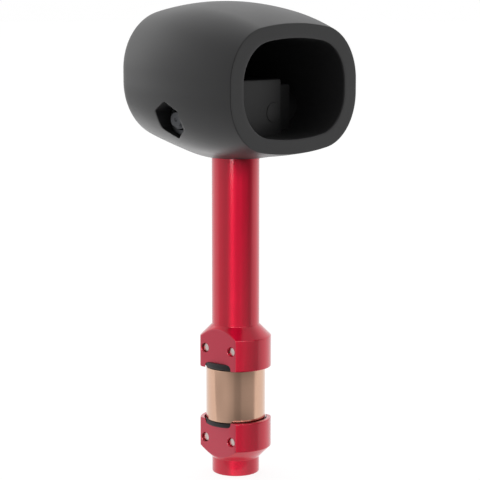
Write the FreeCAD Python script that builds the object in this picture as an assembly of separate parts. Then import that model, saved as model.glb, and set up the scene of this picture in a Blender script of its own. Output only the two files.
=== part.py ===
import FreeCAD, Part
import math
import os

# Bass drum beater, in millimetres. A hollow moulded head is bolted across the top of a turned
# stem. Below it a bronze sleeve turns in two collars, where pins in its grooves hold it.
# The origin is the middle of the stub's lower face and +Z runs up the stem. The head's open
# end faces -Y, and the spanner flats and the cross bolt lie along X.

# Stem, cones and collars, turned from bar
stem_diameter = 12.7
stem_length = 44.75
stub_length = 4.3
collar_diameter = 19.05
lower_collar_length = 7.65
upper_collar_length = 8.35
flat_depth = 2.38
turned_edge = 0.3
stub_edge = 0.5
rod_hole_diameter = 5.0
rod_hole_depth = 5.2

# Bronze sleeve and its grooved spigots
sleeve_step = 1.5875
sleeve_gap = 14.0
sleeve_edge = 0.35
spigot_land = 1.2
spigot_end_gap = 0.3
running_clearance = 0.05
face_clearance = 0.05

# Rubber rings let into the collars' open ends, with room round them to spread
ring_wall = 1.425
ring_width = 2.3
ring_thickness = 1.6
ring_bevel = 0.5
ring_bore_clearance = 0.3
ring_room = 0.2
recess_bevel = 0.55

# Pins that ride in the spigots' grooves
pin_diameter = 2.38
pin_inset = 0.85
pin_distance = 5.25
pin_recess = 0.7
pin_hole_clearance = 0.04
pin_groove_clearance = 0.2

# Head: distances from the stem's axis, and widths and heights at three stations
head_front = 20.73
head_rear = 20.7
front_width = 48.82
front_rise = 1.95
front_height = 33.34
middle_width = 54.6
middle_rise = 0.8
middle_height = 40.0
rear_width = 45.8
rear_rise = 5.7
rear_height = 32.3
rear_round = 4.4
corner_share = 0.85
straight_side_share = 0.1

# Head: rim, hollow and the neck under it
rim_side = 4.3
rim_top = 3.76
hollow_draft = 0.8
rear_wall = 5.0
neck_wall = 0.75
neck_reach = 10.4
neck_height = 4.6
bend_out_share = 0.52
bend_up_share = 0.37

# Head: boss round the stem, and the bridge that the cross bolt runs through
socket_depth = 18.6
socket_clearance = 0.05
boss_roof = 2.1
boss_side_wall = 3.6
boss_end_wall = 4.65
boss_round = 4.2
bridge_diameter = 11.6

# Cross bolt, nut and washer
cross_height = 11.0
bolt_diameter = 5.0
bolt_clearance = 0.25
bolt_head_diameter = 9.5
bolt_head_height = 2.75
bolt_head_crown = 1.7
bolt_socket = 3.0
bolt_socket_depth = 1.6
bolt_point = 0.7
bolt_tip = 2.1
nut_width = 8.0
nut_thickness = 4.0
nut_clearance = 0.15
nut_depth = 10.7
washer_diameter = 10.0
washer_thickness = 1.0
washer_clearance = 0.3
washer_depth = 9.8

# One overrun serves all cuts that pass out of a face, and one tolerance finds a plane's edges
overrun = 2.0
plane_tolerance = 0.01

FULL_TURN = 360
ROUND_STEPS = 3
ORIGIN = FreeCAD.Vector(0, 0, 0)
ALONG_X = FreeCAD.Vector(1, 0, 0)
ALONG_Z = FreeCAD.Vector(0, 0, 1)

# Places worked out from the sizes above
stem_radius = stem_diameter / 2
collar_radius = collar_diameter / 2
cone_length = collar_radius - stem_radius
flat_width = collar_diameter - 2 * flat_depth
sleeve_diameter = collar_diameter - 2 * sleeve_step
ring_diameter = collar_diameter - 2 * ring_wall
ring_radius = ring_diameter / 2
ring_bore = ring_diameter - 2 * ring_width
recess_radius = ring_radius + ring_room
spigot_diameter = ring_bore - 2 * ring_bore_clearance
pin_spacing = spigot_diameter - 2 * pin_inset
lower_open_end = stub_length + cone_length + lower_collar_length
upper_open_end = lower_open_end + sleeve_gap
sleeve_middle = (lower_open_end + upper_open_end) / 2
neck_level = upper_open_end + upper_collar_length + cone_length + stem_length
cross_level = neck_level + cross_height
hollow_floor = head_rear - rear_wall
nut_seat = middle_width / 2 - nut_depth
washer_seat = middle_width / 2 - washer_depth
pin_radius = pin_diameter / 2
groove_radius = pin_spacing / 2 - pin_radius - pin_groove_clearance
groove_near = pin_distance - pin_radius - pin_groove_clearance
groove_far = pin_distance + pin_radius + pin_groove_clearance
spigot_length = groove_far + spigot_land
pin_length = flat_width - 2 * pin_recess


def turned(profile):
    """Solid turned about Z from (radius, height) corners that start and end on the axis."""
    corners = [FreeCAD.Vector(radius, 0, height) for radius, height in profile]
    outline = Part.makePolygon(corners + corners[:1])
    return Part.Face(outline).revolve(ORIGIN, ALONG_Z, FULL_TURN)


def upright(diameter, low, high):
    """Cylinder on the stem's axis between two heights."""
    return Part.makeCylinder(diameter / 2, high - low, FreeCAD.Vector(0, 0, low))


def crosswise(diameter, start, end, y, z):
    """Cylinder along X between two places, at one y and height."""
    return Part.makeCylinder(diameter / 2, end - start, FreeCAD.Vector(start, y, z), ALONG_X)


def edges_at_height(shape, level):
    """Edges that lie in the level plane at a height."""
    return [edge for edge in shape.Edges
            if abs(edge.BoundBox.ZMin - level) < plane_tolerance
            and abs(edge.BoundBox.ZMax - level) < plane_tolerance]


def collar_body(shank_length, collar_length):
    """Shank, cone and collar in one turned piece that stands on its shank, open end up."""
    collar_start = shank_length + cone_length
    open_end = collar_start + collar_length
    body = turned([
        (0, 0),
        (stem_radius, 0),
        (stem_radius, shank_length),
        (collar_radius, collar_start),
        (collar_radius, open_end),
        (0, open_end),
    ])
    body = body.makeChamfer(turned_edge, edges_at_height(body, open_end))
    for side in (-1, 1):
        middle = side * (flat_width + collar_diameter) / 2
        corner = FreeCAD.Vector(middle - collar_diameter / 2, -collar_diameter / 2, 0)
        body = body.cut(Part.makeBox(collar_diameter, collar_diameter, open_end, corner))
    recess_floor = open_end - ring_thickness
    body = body.cut(turned([
        (0, recess_floor),
        (recess_radius - recess_bevel, recess_floor),
        (recess_radius, recess_floor + recess_bevel),
        (recess_radius, open_end + overrun),
        (0, open_end + overrun),
    ]))
    socket_floor = open_end - spigot_length - spigot_end_gap
    body = body.cut(upright(spigot_diameter + 2 * running_clearance, socket_floor, open_end + overrun))
    for side in (-1, 1):
        hole_diameter = pin_diameter + 2 * pin_hole_clearance
        hole_y = side * pin_spacing / 2
        body = body.cut(crosswise(hole_diameter, -collar_diameter, collar_diameter, hole_y, open_end - pin_distance))
    return body


def lower_collar():
    """Lower collar on its short stub, with the blind hole that the pedal rod screws into."""
    body = collar_body(stub_length, lower_collar_length)
    body = body.makeChamfer(stub_edge, edges_at_height(body, 0))
    return body.cut(upright(rod_hole_diameter, -overrun, rod_hole_depth))


def upper_stem():
    """Upper collar and the stem that runs on into the head, turned over to hang open end down."""
    shank_length = stem_length + socket_depth
    body = collar_body(shank_length, upper_collar_length)
    body.rotate(ORIGIN, ALONG_X, FULL_TURN / 2)
    body.translate(FreeCAD.Vector(0, 0, neck_level + socket_depth))
    top = edges_at_height(body, neck_level + socket_depth)
    body = body.makeChamfer(stub_edge, top)
    hole = bolt_diameter + 2 * bolt_clearance
    return body.cut(crosswise(hole, -stem_diameter, stem_diameter, 0, cross_level))


def coupling_sleeve():
    """Sleeve with a grooved spigot at each end, turned from one bar."""
    shoulder = sleeve_gap / 2 - face_clearance
    sleeve_radius = sleeve_diameter / 2
    spigot_radius = spigot_diameter / 2
    half = [
        (sleeve_radius, shoulder),
        (spigot_radius, shoulder),
        (spigot_radius, sleeve_gap / 2 + groove_near),
        (groove_radius, sleeve_gap / 2 + groove_near),
        (groove_radius, sleeve_gap / 2 + groove_far),
        (spigot_radius, sleeve_gap / 2 + groove_far),
        (spigot_radius, sleeve_gap / 2 + spigot_length),
        (0, sleeve_gap / 2 + spigot_length),
    ]
    lower = [(radius, sleeve_middle - distance) for radius, distance in reversed(half)]
    upper = [(radius, sleeve_middle + distance) for radius, distance in half]
    body = turned(lower + upper)
    rims = []
    for level in (sleeve_middle - shoulder, sleeve_middle + shoulder):
        rims += [edge for edge in edges_at_height(body, level) if edge.Curve.Radius > spigot_radius]
    return body.makeChamfer(sleeve_edge, rims)


def damping_ring(low):
    """Rubber ring as thick as the recess in a collar's open end, with bevelled outer edges."""
    high = low + ring_thickness
    body = turned([
        (0, low),
        (ring_radius - ring_bevel, low),
        (ring_radius, low + ring_bevel),
        (ring_radius, high - ring_bevel),
        (ring_radius - ring_bevel, high),
        (0, high),
    ])
    return body.cut(upright(ring_bore, low - overrun, high + overrun))


def retaining_pin(y, z):
    """Plain pin with its ends sunk a little below both spanner flats."""
    return crosswise(pin_diameter, -pin_length / 2, pin_length / 2, y, z)


def crowned(front, middle, rear, y):
    """Value at y on the parabola through the head's front, middle and rear stations."""
    whole = head_front + head_rear
    front_part = front * y * (y - head_rear) / (head_front * whole)
    middle_part = middle * (y + head_front) * (head_rear - y) / (head_front * head_rear)
    rear_part = rear * y * (y + head_front) / (head_rear * whole)
    return front_part + middle_part + rear_part


def oval(y, half_width, low, high):
    """Upright oval at y: crowned top and foot, round corners and short straight sides, all tangent."""
    half_height = (high - low) / 2
    centre = (high + low) / 2
    corner = corner_share * half_height
    side = straight_side_share * half_height
    inset = half_width - corner
    drop = half_height - side
    crown = (inset ** 2 + drop ** 2 - corner ** 2) / (2 * (drop - corner))
    lean = math.atan2(inset, crown - drop)
    middle = (math.pi / 2 - lean) / 2
    corner_point = (inset + corner * math.cos(middle), side + corner * math.sin(middle))
    crown_point = (crown * math.sin(lean), half_height - crown + crown * math.cos(lean))

    def place(across, up, right, above):
        return FreeCAD.Vector(right * across, y, centre + above * up)

    def corner_arc(right, above):
        start = place(half_width, side, right, above)
        end = place(*crown_point, right, above)
        return Part.Arc(start, place(*corner_point, right, above), end).toShape()

    def crown_arc(above):
        start = place(*crown_point, 1, above)
        return Part.Arc(start, place(0, half_height, 1, above), place(*crown_point, -1, above)).toShape()

    def side_line(right):
        return Part.LineSegment(place(half_width, side, right, 1), place(half_width, side, right, -1)).toShape()

    edges = [
        corner_arc(1, 1),
        crown_arc(1),
        corner_arc(-1, 1),
        side_line(-1),
        corner_arc(-1, -1),
        crown_arc(-1),
        corner_arc(1, -1),
        side_line(1),
    ]
    return Part.Wire(edges)


def barrel_section(y, drop):
    """Outline of the head's outside at a place along Y, drawn in by the drop."""
    half_width = crowned(front_width, middle_width, rear_width, y) / 2
    low = neck_level + crowned(front_rise, middle_rise, rear_rise, y)
    high = low + crowned(front_height, middle_height, rear_height, y)
    return oval(y, half_width - drop, low + drop, high - drop)


def barrel():
    """Outside of the head: a bulging loft, flat at its open end and rounded at its closed end."""
    round_start = head_rear - rear_round
    wall = Part.makeLoft([barrel_section(y, 0) for y in (-head_front, 0, round_start)], True)
    angles = [math.pi / 2 * step / ROUND_STEPS for step in range(ROUND_STEPS + 1)]
    places = [(round_start + rear_round * math.sin(a), rear_round * (1 - math.cos(a))) for a in angles]
    end = Part.makeLoft([barrel_section(y, drop) for y, drop in places], True)
    return wall.fuse(end)


def hollow():
    """Space inside the head: it narrows a little from the mouth so that its core can be drawn."""
    half_width = front_width / 2 - rim_side
    low = neck_level + front_rise + rim_top
    high = neck_level + front_rise + front_height - rim_top
    mouth = oval(-head_front, half_width, low, high)
    floor = oval(hollow_floor, half_width - hollow_draft, low + hollow_draft, high - hollow_draft)
    return Part.makeLoft([mouth, floor], True, True)


def neck():
    """Flare under the head, two cones that meet the stem below and end inside the barrel."""
    foot = stem_radius + neck_wall
    top = neck_level + neck_height
    return turned([
        (0, neck_level),
        (foot, neck_level),
        (foot + bend_out_share * neck_reach, neck_level + bend_up_share * neck_height),
        (foot + neck_reach, top),
        (0, top),
    ])


def stem_boss():
    """Upright block in the hollow that holds the stem, with a round shoulder along each side of its top."""
    width = stem_diameter + 2 * boss_side_wall
    depth = stem_diameter + 2 * boss_end_wall
    top = neck_level + socket_depth + boss_roof
    body = Part.makeBox(width, depth, top - neck_level, FreeCAD.Vector(-width / 2, -depth / 2, neck_level))
    rim = edges_at_height(body, top)
    shoulders = [edge for edge in rim if edge.BoundBox.YLength > edge.BoundBox.XLength]
    return body.makeFillet(boss_round, shoulders)


def hexagon(across_flats, start, end):
    """Six-sided bar along X on the cross bolt's axis, with a corner at its top."""
    reach = across_flats / math.sqrt(3)
    angles = [math.radians(FULL_TURN * (step + 0.5) / 6) for step in range(6)]
    corners = [FreeCAD.Vector(start, reach * math.cos(a), cross_level + reach * math.sin(a)) for a in angles]
    outline = Part.makePolygon(corners + corners[:1])
    return Part.Face(outline).extrude(FreeCAD.Vector(end - start, 0, 0))


def head_shell():
    """Moulded head with its hollow, stem boss, bolt bridge, nut pocket and washer counterbore."""
    outside = barrel()
    bridge = crosswise(bridge_diameter, -middle_width / 2, middle_width / 2, 0, cross_level)
    inside = stem_boss().fuse(bridge).common(outside)
    body = outside.fuse(neck()).cut(hollow()).fuse(inside)
    socket = stem_diameter + 2 * socket_clearance
    body = body.cut(upright(socket, neck_level - overrun, neck_level + socket_depth))
    passage = bolt_diameter + 2 * bolt_clearance
    body = body.cut(crosswise(passage, -middle_width, middle_width, 0, cross_level))
    body = body.cut(hexagon(nut_width + 2 * nut_clearance, -middle_width, -nut_seat))
    counterbore = washer_diameter + 2 * washer_clearance
    body = body.cut(crosswise(counterbore, washer_seat, middle_width, 0, cross_level))
    return body.removeSplitter()


def cross_bolt():
    """Button-head screw from the washer through the stem, with its point past the nut."""
    bearing = washer_seat + washer_thickness
    end = nut_seat + nut_thickness + bolt_tip
    rim = bolt_head_height - bolt_head_crown
    shank = bolt_diameter / 2
    head = bolt_head_diameter / 2
    profile = turned([
        (0, -end),
        (shank - bolt_point, -end),
        (shank, bolt_point - end),
        (shank, bearing),
        (head, bearing),
        (head, bearing + rim),
        (head - bolt_head_crown, bearing + bolt_head_height),
        (0, bearing + bolt_head_height),
    ])
    profile.rotate(ORIGIN, FreeCAD.Vector(0, 1, 0), FULL_TURN / 4)
    profile.translate(FreeCAD.Vector(0, 0, cross_level))
    outer = bearing + bolt_head_height
    return profile.cut(hexagon(bolt_socket, outer - bolt_socket_depth, outer + overrun))


def cross_nut():
    """Hexagon nut at the bottom of its pocket."""
    body = hexagon(nut_width, -nut_seat - nut_thickness, -nut_seat)
    bore = bolt_diameter + 2 * running_clearance
    return body.cut(crosswise(bore, -middle_width, 0, 0, cross_level))


def cross_washer():
    """Flat washer under the bolt's head."""
    end = washer_seat + washer_thickness
    body = crosswise(washer_diameter, washer_seat, end, 0, cross_level)
    bore = bolt_diameter + 2 * bolt_clearance
    return body.cut(crosswise(bore, 0, middle_width, 0, cross_level))


def main():
    """Builds each piece and writes it to its own file."""
    lower_pins = lower_open_end - pin_distance
    upper_pins = upper_open_end + pin_distance
    pieces = {
        "lower_collar": lower_collar(),
        "lower_ring": damping_ring(lower_open_end - ring_thickness),
        "lower_pin_front": retaining_pin(-pin_spacing / 2, lower_pins),
        "lower_pin_rear": retaining_pin(pin_spacing / 2, lower_pins),
        "coupling_sleeve": coupling_sleeve(),
        "upper_ring": damping_ring(upper_open_end),
        "upper_pin_front": retaining_pin(-pin_spacing / 2, upper_pins),
        "upper_pin_rear": retaining_pin(pin_spacing / 2, upper_pins),
        "upper_stem": upper_stem(),
        "head_shell": head_shell(),
        "cross_bolt": cross_bolt(),
        "cross_nut": cross_nut(),
        "cross_washer": cross_washer(),
    }
    os.makedirs("parts", exist_ok=True)
    for name, shape in pieces.items():
        shape.exportStep(f"parts/{name}.step")
        print(name, "solids", len(shape.Solids), "valid", shape.isValid(), "volume", round(shape.Volume, 1))


main()
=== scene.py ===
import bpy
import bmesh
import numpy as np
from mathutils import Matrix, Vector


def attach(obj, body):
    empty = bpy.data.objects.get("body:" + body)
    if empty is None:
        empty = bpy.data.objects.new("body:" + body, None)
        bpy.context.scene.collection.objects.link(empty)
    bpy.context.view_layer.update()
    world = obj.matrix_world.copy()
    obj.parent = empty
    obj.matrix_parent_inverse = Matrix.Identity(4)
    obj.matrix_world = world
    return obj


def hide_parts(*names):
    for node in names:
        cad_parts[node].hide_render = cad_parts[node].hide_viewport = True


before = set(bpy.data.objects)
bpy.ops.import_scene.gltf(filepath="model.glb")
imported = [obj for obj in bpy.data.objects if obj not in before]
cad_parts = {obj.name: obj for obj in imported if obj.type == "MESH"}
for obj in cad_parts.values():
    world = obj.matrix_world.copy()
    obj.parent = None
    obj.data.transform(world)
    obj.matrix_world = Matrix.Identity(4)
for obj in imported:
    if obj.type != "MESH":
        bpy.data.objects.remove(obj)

# %% [markdown]
# # Dressing a bass drum beater
#
# The frame holds the beater's solids: a hollow moulded head on a turned stem, and below it a bronze
# sleeve that swivels between two collars. This lesson makes each visible piece again as a smooth
# surface, in the same place as its solid, and gives it the finish of the real material.
# All sizes are in millimetres until a mesh is made, because that is how such a part is drawn.

# A millimetre in metres, a full turn, and the smallest length in millimetres that counts
MM = 0.001
FULL = 2 * np.pi
TINY = 1e-9
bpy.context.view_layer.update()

# %% [markdown]
# ## Surfaces from grids
#
# Every piece here is a surface with two parameters: one goes along a profile, the other goes round it.
# Numpy holds it as a grid of points, one row for each place on the profile. Turning the grid into a
# mesh is then the same job for every piece: neighbours in the grid make a quad, the last column joins
# the first, and rows that shrink to a point are welded, so that poles close. Blender's own cylinders
# could be pushed into shape by hand, but then the script would show no sizes. Two more helpers cut or
# join pieces with a Boolean, and tell the frame which solid a finished piece stands for.

# %% A grid of points becomes a mesh
# Points closer than this, in metres, become one
WELD = 2e-7


def grid_quads(rows, columns, loop):
    """Corner numbers of the quads between neighbouring rows and columns; loop joins both end rows.

    A point's number is its row, times the number of columns, plus its column.
    """
    row = np.arange(rows if loop else rows - 1)[:, None]
    column = np.arange(columns)[None, :]
    below, beside = (row + 1) % rows, (column + 1) % columns
    corners = [(row, column), (row, beside), (below, beside), (below, column)]
    return np.stack([down * columns + along for down, along in corners], -1).reshape(-1, 4)


def surface(name, points, loop=False):
    """Object at the origin whose mesh is the grid of points, in millimetres, welded and facing outwards."""
    rows, columns = points.shape[:2]
    mesh = bpy.data.meshes.new(name)
    mesh.from_pydata((points.reshape(-1, 3) * MM).tolist(), [], grid_quads(rows, columns, loop).tolist())
    weld = bmesh.new()
    weld.from_mesh(mesh)
    bmesh.ops.remove_doubles(weld, verts=weld.verts, dist=WELD)
    bmesh.ops.dissolve_degenerate(weld, edges=weld.edges, dist=WELD)
    bmesh.ops.recalc_face_normals(weld, faces=weld.faces)
    weld.to_mesh(mesh)
    weld.free()
    made = bpy.data.objects.new(name, mesh)
    bpy.context.scene.collection.objects.link(made)
    return made


# %% Cutting and joining, and putting a finished piece in its place
def combine(piece, tool, operation):
    """The piece after a Boolean with the tool, which is then thrown away."""
    step = piece.modifiers.new(operation.lower(), "BOOLEAN")
    step.object, step.operation, step.solver = tool, operation, "EXACT"
    shaped = piece.evaluated_get(bpy.context.evaluated_depsgraph_get())
    mesh = bpy.data.meshes.new_from_object(shaped)
    piece.modifiers.clear()
    piece.data = mesh
    bpy.data.meshes.remove(tool.data)


def place(piece, body, node, sharp=32):
    """Smooth shading with creases past the sharp angle, in degrees.

    The piece then stands for its CAD node and rides on its body.
    """
    mesh = piece.data
    mesh.polygons.foreach_set("use_smooth", np.ones(len(mesh.polygons), bool))
    mesh.set_sharp_from_angle(angle=np.radians(sharp))
    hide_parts(node)
    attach(piece, body)
    print(piece.name, len(mesh.polygons), "faces")


# %% [markdown]
# ## Profiles with broken edges
#
# A turned piece never has a knife edge: the turner breaks each corner, and the eye finds the edge by
# the thin line of light on that small round. A Bevel modifier could do this, but it treats all edges
# alike. So profiles are written as corners with a radius each, and one function puts a touching arc at
# every corner. A second one adds points on long runs, which a surface needs where it is bent later.
# The profile then goes once round an axis, as on a lathe.


# %% Rounded profiles
def rounded(corners, steps=6):
    """Profile through rows of (radius, height, round).

    Each inner corner becomes an arc that touches both of its sides. The arc's points are weighted sums
    of its two end radii, with the sines of the two part angles as weights.
    """
    corners = np.array(corners, float)
    here, size = corners[1:-1, :2], corners[1:-1, 2:]
    back = corners[:-2, :2] - here
    ahead = corners[2:, :2] - here
    back /= np.linalg.norm(back, axis=1, keepdims=True)
    ahead /= np.linalg.norm(ahead, axis=1, keepdims=True)
    turn = np.pi - np.arccos(np.clip((back * ahead).sum(1, keepdims=True), -1, 1))
    inward = (back + ahead) / np.linalg.norm(back + ahead, axis=1, keepdims=True)
    centre = here + inward * size / np.cos(turn / 2)
    start = here + back * size * np.tan(turn / 2) - centre
    end = here + ahead * size * np.tan(turn / 2) - centre
    share = np.linspace(0, 1, steps)[None, :, None]
    turn = turn[:, None]
    swing = np.sin((1 - share) * turn) * start[:, None] + np.sin(share * turn) * end[:, None]
    arcs = (centre[:, None] + swing / np.sin(turn)).reshape(-1, 2)
    profile = np.vstack([corners[:1, :2], arcs, corners[-1:, :2]])
    apart = np.linalg.norm(np.diff(profile, axis=0), axis=1) > TINY
    return profile[np.concatenate([[True], apart])]


def bar(radius, start, end, start_edge=0, end_edge=0):
    """Profile of a plain round bar between two heights, with a round of its own at each end."""
    return rounded([(0, start, 0), (radius, start, start_edge), (radius, end, end_edge), (0, end, 0)])


def spaced(profile, step):
    """The same profile, with each run cut into equal parts that are no longer than the step."""
    run = np.linalg.norm(np.diff(profile, axis=0), axis=1)
    travel = np.concatenate([[0], np.cumsum(run)])
    counts = np.ceil(run / step).astype(int)
    stops = [np.linspace(a, b, n, endpoint=False) for a, b, n in zip(travel[:-1], travel[1:], counts)]
    stops = np.concatenate(stops + [travel[-1:]])
    return np.column_stack([np.interp(stops, travel, column) for column in profile.T])


# %% Turning a profile round an axis
TURNED_COLUMNS, SMALL_COLUMNS = 192, 64


def round_angles(columns):
    """Row of evenly spaced angles, once round."""
    return np.linspace(0, FULL, columns, endpoint=False)[None, :]


def about_z(radius, angle, height):
    """Points about the Z axis: the radius times the angle's cosine and sine, and the height."""
    return np.stack([radius * np.cos(angle), radius * np.sin(angle), height + 0 * angle], -1)


def turned(profile, columns=TURNED_COLUMNS):
    """Surface of revolution: each (radius, height) of the profile goes once round the Z axis."""
    return about_z(profile[:, :1], round_angles(columns), profile[:, 1:])


def across(points, y, z):
    """A piece turned about Z, laid over so that its axis runs along X at one y and height."""
    return np.stack([points[..., 2], points[..., 0] + y, points[..., 1] + z], -1)


# %% [markdown]
# ## Camera
#
# The photograph looks down a little, from the left of the open end, with a long lens. The camera was
# fitted to the outline of the turned pieces, so it is set by its place and its three directions.
# Aiming it at a point would be shorter, but would lose the fitted framing.

# %% Camera at the photograph's place
CAMERA_PLACE = (-0.3390, -0.3054, 0.1264)
CAMERA_AZIMUTH, CAMERA_ELEVATION = np.radians(-48.132), np.radians(7.894)
CAMERA_LENS, CAMERA_SENSOR = 129.6, 36

right = Vector((np.cos(CAMERA_AZIMUTH), np.sin(CAMERA_AZIMUTH), 0))
level = Vector((np.sin(CAMERA_AZIMUTH), -np.cos(CAMERA_AZIMUTH), 0))
back = level * np.cos(CAMERA_ELEVATION) + Vector((0, 0, np.sin(CAMERA_ELEVATION)))
camera = bpy.data.objects.new("camera", bpy.data.cameras.new("camera"))
camera.data.lens = CAMERA_LENS
camera.data.sensor_width = CAMERA_SENSOR
camera.matrix_world = Matrix((right, back.cross(right), back)).transposed().to_4x4()
camera.location = CAMERA_PLACE
bpy.context.scene.collection.objects.link(camera)
bpy.context.scene.camera = camera
print("camera looks along", [round(-c, 3) for c in back])

# %% [markdown]
# ## Head
#
# The head is one moulding: a barrel that bulges along its length, cut flat at its open front and
# rounded at its closed rear. Its outline across is an oval of eight parts that touch: crowned top and
# foot, four round corners and two short straight sides. A Boolean of two solids could hollow it, but
# one skin can run along the outside, over the rim and back along the inside, which keeps every edge
# soft. So each row of the grid is an oval, and four numbers describe it: its place along Y, its half
# width, and the heights of its foot and top.

# %% Levels and sizes of the head
# Heights of the neck's foot and of the cross bolt's axis
NECK, CROSS = 85.4, 96.4
HEAD_FRONT, HEAD_REAR, REAR_ROUND = 20.73, 20.7, 4.4
# An oval's corner radius and half its straight side, as shares of half its height
CORNER_SHARE, SIDE_SHARE = 0.85, 0.1
RIM_SIDE, RIM_TOP, RIM_OUTER_EDGE, RIM_INNER_EDGE = 5.0, 3.76, 0.15, 0.3
HOLLOW_FLOOR, HOLLOW_DRAFT, HOLLOW_ROUND = 15.7, 0.8, 3.0


def station(width, lift, height):
    """Half width, foot and top of the barrel at one place, with its foot lifted above the neck's."""
    return width / 2, NECK + lift, NECK + lift + height


FRONT_STATION = station(49.8, 1.95, 33.34)
MIDDLE_STATION = station(54.5, 0.8, 39.98)
REAR_STATION = station(45.8, 5.7, 32.3)
print("half widths from front to rear", FRONT_STATION[0], MIDDLE_STATION[0], REAR_STATION[0], "mm")


# %% Rows of the head: place along Y, half width, foot and top
def barrel(y, drop):
    """Rows of the outside at each y: a parabola through the three stations, drawn in by the drop."""
    y = np.asarray(y, float)
    whole = HEAD_FRONT + HEAD_REAR
    front = y * (y - HEAD_REAR) / (HEAD_FRONT * whole)
    middle = (y + HEAD_FRONT) * (HEAD_REAR - y) / (HEAD_FRONT * HEAD_REAR)
    rear = y * (y + HEAD_FRONT) / (HEAD_REAR * whole)
    stations = np.outer(front, FRONT_STATION) + np.outer(middle, MIDDLE_STATION)
    stations = stations + np.outer(rear, REAR_STATION)
    return np.column_stack([y, stations + np.outer(drop + 0 * y, (-1, 1, -1))])


def hollow(y, drop):
    """Rows of the inside, which narrows evenly from the mouth to the rear wall."""
    y = np.asarray(y, float)
    taper = HOLLOW_DRAFT * (y + HEAD_FRONT) / (HOLLOW_FLOOR + HEAD_FRONT) + drop
    half_width, foot, top = FRONT_STATION
    mouth = (half_width - RIM_SIDE, foot + RIM_TOP, top - RIM_TOP)
    return np.column_stack([y, mouth + np.outer(taper, (-1, 1, -1))])


def to_pole(row, shares):
    """Rows that shrink the given oval about its own middle, down to a point."""
    y, half_width, foot, top = row
    middle, half_height = (foot + top) / 2, (top - foot) / 2
    shares = np.asarray(shares)[:, None]
    foot, top = middle - half_height * shares, middle + half_height * shares
    return np.hstack([y + 0 * shares, half_width * shares, foot, top])


print("half width, foot and top at the front", barrel([-HEAD_FRONT], 0)[0, 1:].round(2), "mm")

# %% The oval that each row describes
SIDE_POINTS, CORNER_POINTS, CROWN_POINTS = 4, 44, 25


def oval_parts(rows):
    """Half width and height, corner radius, straight half side, corner inset, crown radius and lean.

    The crown's circle reaches the full height, and the corner's touches it from inside. The lean is the
    angle at which they touch.
    """
    half_width, half_height = rows[:, 1:2], (rows[:, 3:] - rows[:, 2:3]) / 2
    corner, side = CORNER_SHARE * half_height, SIDE_SHARE * half_height
    inset, drop = half_width - corner, half_height - side
    crown = (inset ** 2 + drop ** 2 - corner ** 2) / (2 * (drop - corner))
    return half_width, half_height, corner, side, inset, crown, np.arctan2(inset, crown - drop)


def ovals(rows):
    """Grid of ovals: a quarter is a side, a corner arc and half a crown, mirrored to close the ring."""
    half_width, half_height, corner, side, inset, crown, lean = oval_parts(rows)
    up = np.linspace(0, 1, SIDE_POINTS, endpoint=False)[None, :]
    bend = np.linspace(0, 1, CORNER_POINTS, endpoint=False)[None, :] * (np.pi / 2 - lean)
    tip = np.linspace(1, 0, CROWN_POINTS)[None, :] * lean
    wide = np.hstack([half_width + 0 * up, inset + corner * np.cos(bend), crown * np.sin(tip)])
    high = np.hstack([side * up, side + corner * np.sin(bend), half_height - crown + crown * np.cos(tip)])
    x = np.hstack([wide[:, :-1], -wide[:, :0:-1], -wide[:, :-1], wide[:, :0:-1]])
    z = np.hstack([high[:, :-1], high[:, :0:-1], -high[:, :-1], -high[:, :0:-1]])
    centre = (rows[:, 2:3] + rows[:, 3:]) / 2
    return np.stack([x, rows[:, :1] + 0 * x, z + centre], -1)


def barrel_side(y, z):
    """How far the outside stands from the middle plane at y and z: Pythagoras in the corner's circle."""
    rows = barrel(y, 0)
    _, _, corner, side, inset, _, _ = (part[:, 0] for part in oval_parts(rows))
    above = np.maximum(np.abs(z - (rows[:, 2] + rows[:, 3]) / 2) - side, 0)
    return inset + np.sqrt(corner ** 2 - above ** 2)


print("corner radius at the middle", round(oval_parts(barrel([0], 0))[2].item(), 2), "mm")

# %% The skin's rows, from the rear pole over the rim to the hollow's pole
ROUND_ROWS, EDGE_ROWS, OUTSIDE_ROWS, INSIDE_ROWS, RIM_ROWS, POLE_ROWS = 14, 7, 52, 30, 6, 12
POLE_SHARE = 1e-6

quarter = np.linspace(0, np.pi / 2, ROUND_ROWS)
edge_quarter = np.linspace(0, np.pi / 2, EDGE_ROWS)
round_start, floor_start = HEAD_REAR - REAR_ROUND, HOLLOW_FLOOR - HOLLOW_ROUND
rear_round = barrel(round_start + REAR_ROUND * np.sin(quarter), REAR_ROUND * (1 - np.cos(quarter)))
outside = barrel(np.linspace(RIM_OUTER_EDGE - HEAD_FRONT, round_start, OUTSIDE_ROWS, endpoint=False), 0)
outer_edge = barrel(
    RIM_OUTER_EDGE * (1 - np.sin(quarter)) - HEAD_FRONT, RIM_OUTER_EDGE * (1 - np.cos(quarter))
)
inner_edge = hollow(
    RIM_INNER_EDGE * (1 - np.sin(edge_quarter)) - HEAD_FRONT, -RIM_INNER_EDGE * (1 - np.cos(edge_quarter))
)
inside = hollow(np.linspace(RIM_INNER_EDGE - HEAD_FRONT, floor_start, INSIDE_ROWS, endpoint=False), 0)
floor_round = hollow(floor_start + HOLLOW_ROUND * np.sin(quarter), HOLLOW_ROUND * (1 - np.cos(quarter)))
rim_face = outer_edge[-1] + np.linspace(0, 1, RIM_ROWS)[1:-1, None] * (inner_edge[-1] - outer_edge[-1])
shrink = np.linspace(1, POLE_SHARE, POLE_ROWS)[1:]
skin_rows = np.vstack([
    to_pole(rear_round[-1], shrink)[::-1],
    rear_round[::-1],
    outside[::-1],
    outer_edge[1:],
    rim_face,
    inner_edge[::-1],
    inside[1:],
    floor_round,
    to_pole(floor_round[-1], shrink),
])
skin = ovals(skin_rows)
print("head skin", skin.shape[0], "rows of", skin.shape[1], "points")

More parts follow.
